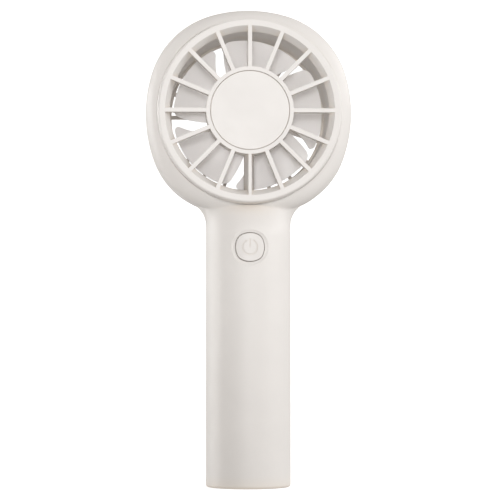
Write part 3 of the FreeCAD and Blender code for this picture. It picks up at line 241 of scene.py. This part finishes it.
def make_materials():
    """One material for each material slot of the record."""
    return {
        "shell_plastic": moulded_plastic("shell_plastic", IVORY, 0.52, fold=(0.112, 0.123)),
        "grille_plastic": moulded_plastic("grille_plastic", IVORY, 0.50),
        "cap_plastic": moulded_plastic("cap_plastic", shade(IVORY, 0.99), 0.44, grain_depth=0.004 * MM),
        "button_plastic": moulded_plastic("button_plastic", shade(IVORY, 0.985), 0.45,
                                          grain_depth=0.003 * MM),
        "blade_plastic": moulded_plastic("blade_plastic", colour(251, 248, 246), 0.46, painted_recess_shade=False),
        "inner_plastic": moulded_plastic("inner_plastic", colour(226, 226, 222), 0.5),
        "black_plastic": coarse_solid("black_plastic", colour(38, 38, 40), 0.45, 0.3 * MM, 0.01 * MM),
        "ceramic_chip": coarse_solid("ceramic_chip", colour(150, 118, 88), 0.5, 0.2 * MM, 0.01 * MM),
        "circuit_board": coarse_solid("circuit_board", colour(22, 88, 52), 0.35, 0.8 * MM, 0.01 * MM),
        "lead_insulation": coarse_solid("lead_insulation", colour(150, 30, 28), 0.45, 0.5 * MM, 0.02 * MM),
        "cell_wrap": coarse_solid("cell_wrap", colour(60, 110, 160), 0.3, 2 * MM, 0.02 * MM, 0.08),
        "nickel": plain_metal("nickel", colour(205, 200, 190), 0.32),
        "foam": coarse_solid("foam", colour(52, 52, 54), 0.9, 0.4 * MM, 0.1 * MM),
        "zinc_steel": plain_metal("zinc_steel", colour(190, 192, 195), 0.34),
        "ground_steel": plain_metal("ground_steel", colour(205, 205, 208), 0.18, stretch=(1, 12, 1)),
        "magnet": coarse_solid("magnet", colour(62, 62, 66), 0.6, 0.3 * MM, 0.02 * MM),
        "lamination": plain_metal("lamination", colour(110, 114, 122), 0.42, stretch=(1, 14, 1)),
        "copper_wire": plain_metal("copper_wire", colour(196, 112, 66), 0.3, stretch=(1, 1, 8)),
        "brass_tube": plain_metal("brass_tube", colour(200, 170, 100), 0.28),
    }


def dress_nodes(materials):
    """Give each CAD node the material of its slot."""
    for part in RECORD["subparts"]:
        node = NODES[part["node"]]
        if not node.material_slots:
            node.data.materials.append(None)
        for held in node.material_slots:
            held.link = "OBJECT"
            held.material = materials[part["material_slot"]]


# ---------------------------------------------------------------------------------------------
# Studio
# ---------------------------------------------------------------------------------------------

LAMP_WHITE = (0.985, 1.0, 1.02)
AIR_WHITE = (1.0, 0.972, 0.945, 1.0)


def sheet_object(name, verts, faces, tone, glow):
    """A studio surface of plain pale paper, which glows a little but sends no light to the object."""
    mesh = bpy.data.meshes.new(name)
    mesh.from_pydata(verts, [], faces)
    for face in mesh.polygons:
        face.use_smooth = True
    made = bpy.data.objects.new(name, mesh)
    bpy.context.collection.objects.link(made)
    shader = Shader(name, 0.9, specular=0.1)
    fibres = shader.span(shader.noise(3 * MM, 4.0), 0.3, 0.7)
    shader.join(shader.blend(fibres, shade(tone, 0.985), tone), "Base Color")
    shader.surface.inputs["Emission Color"].default_value = (1.0, 1.0, 1.0, 1.0)
    shader.surface.inputs["Emission Strength"].default_value = glow
    mesh.materials.append(shader.material)
    made.visible_diffuse = False
    made.visible_glossy = False


def make_sweep(ground):
    """A pale sweep: level floor that curves up into a backdrop far behind the object."""
    front, depth, width, height, bend = -2.6, 1.8, 3.0, 2.6, 0.7
    steps = 12
    profile = [(front, 0.0), (depth - bend, 0.0)]
    for step in range(1, steps + 1):
        angle = math.pi / 2 * step / steps
        profile.append((depth - bend + bend * math.sin(angle), bend - bend * math.cos(angle)))
    profile.append((depth, height))
    verts = [(side * width, y, z + ground) for y, z in profile for side in (-1, 1)]
    faces = [(2 * i, 2 * i + 1, 2 * i + 3, 2 * i + 2) for i in range(len(profile) - 1)]
    sheet_object("studio_sweep", verts, faces, (0.92, 0.92, 0.92, 1.0), 0.42)


def make_light(name, place, aim, size, power, spread=180):
    """A soft rectangular light at a place, turned towards a point; spread is its beam in degrees."""
    data = bpy.data.lights.new(name, "AREA")
    data.shape = "RECTANGLE"
    data.size, data.size_y = size
    data.energy = power
    data.color = LAMP_WHITE
    data.spread = math.radians(spread)
    light = bpy.data.objects.new(name, data)
    light.location = place
    light.rotation_euler = (Vector(aim) - Vector(place)).to_track_quat("-Z", "Y").to_euler()
    bpy.context.collection.objects.link(light)


def make_world(strength):
    """An even pale surround, a little warmer than the lamps."""
    world = bpy.data.worlds.new("studio_air")
    world.use_nodes = True
    background = world.node_tree.nodes["Background"]
    background.inputs["Color"].default_value = AIR_WHITE
    background.inputs["Strength"].default_value = strength
    bpy.context.scene.world = world


def make_camera(distance, height, azimuth, aim):
    """A long lens a little to the left of the object's front, looking slightly up."""
    data = bpy.data.cameras.new("camera")
    data.sensor_width = 36.0
    data.lens = 156.7
    data.clip_start, data.clip_end = 0.05, 20.0
    turn = math.radians(azimuth)
    eye = Vector((distance * math.sin(turn), -distance * math.cos(turn), height))
    camera = bpy.data.objects.new("camera", data)
    camera.location = eye
    camera.rotation_euler = (Vector(aim) - eye).to_track_quat("-Z", "Y").to_euler()
    bpy.context.collection.objects.link(camera)
    bpy.context.scene.camera = camera


def make_studio():
    """Floor, lights and camera round the object's box."""
    low, high = CAD_BOX
    make_sweep(low.z)
    make_world(0.645)
    middle = Vector(((low.x + high.x) / 2, 0.0, (low.z + high.z) / 2))
    axis_height = 0.161
    head = Vector((0.0, 0.0, axis_height))
    make_light("front_wash", (-0.06, -1.25, 0.17), head, (0.22, 0.22), 0.118, spread=24)
    make_light("low_fill", (-0.70, -1.00, 0.02), head, (0.3, 0.3), 0.085, spread=26)
    make_light("key_light", (0.72, -0.95, 0.92), middle, (0.45, 0.45), 1.1)
    make_light("side_fill", (1.42, -0.55, 0.50), middle, (0.6, 0.6), 9.0)
    make_light("left_rim", (-1.36, 0.79, 0.38), middle, (0.5, 0.5), 8.5)
    make_light("right_rim", (1.30, 0.80, 0.75), middle, (0.5, 0.5), 6)
    view = bpy.context.scene.view_settings
    view.view_transform = "Standard"
    view.look = "None"
    make_camera(0.94, 0.0647, -2.6, (0.00079, 0.0, 0.10193))


make_studio()
dress_nodes(make_materials())
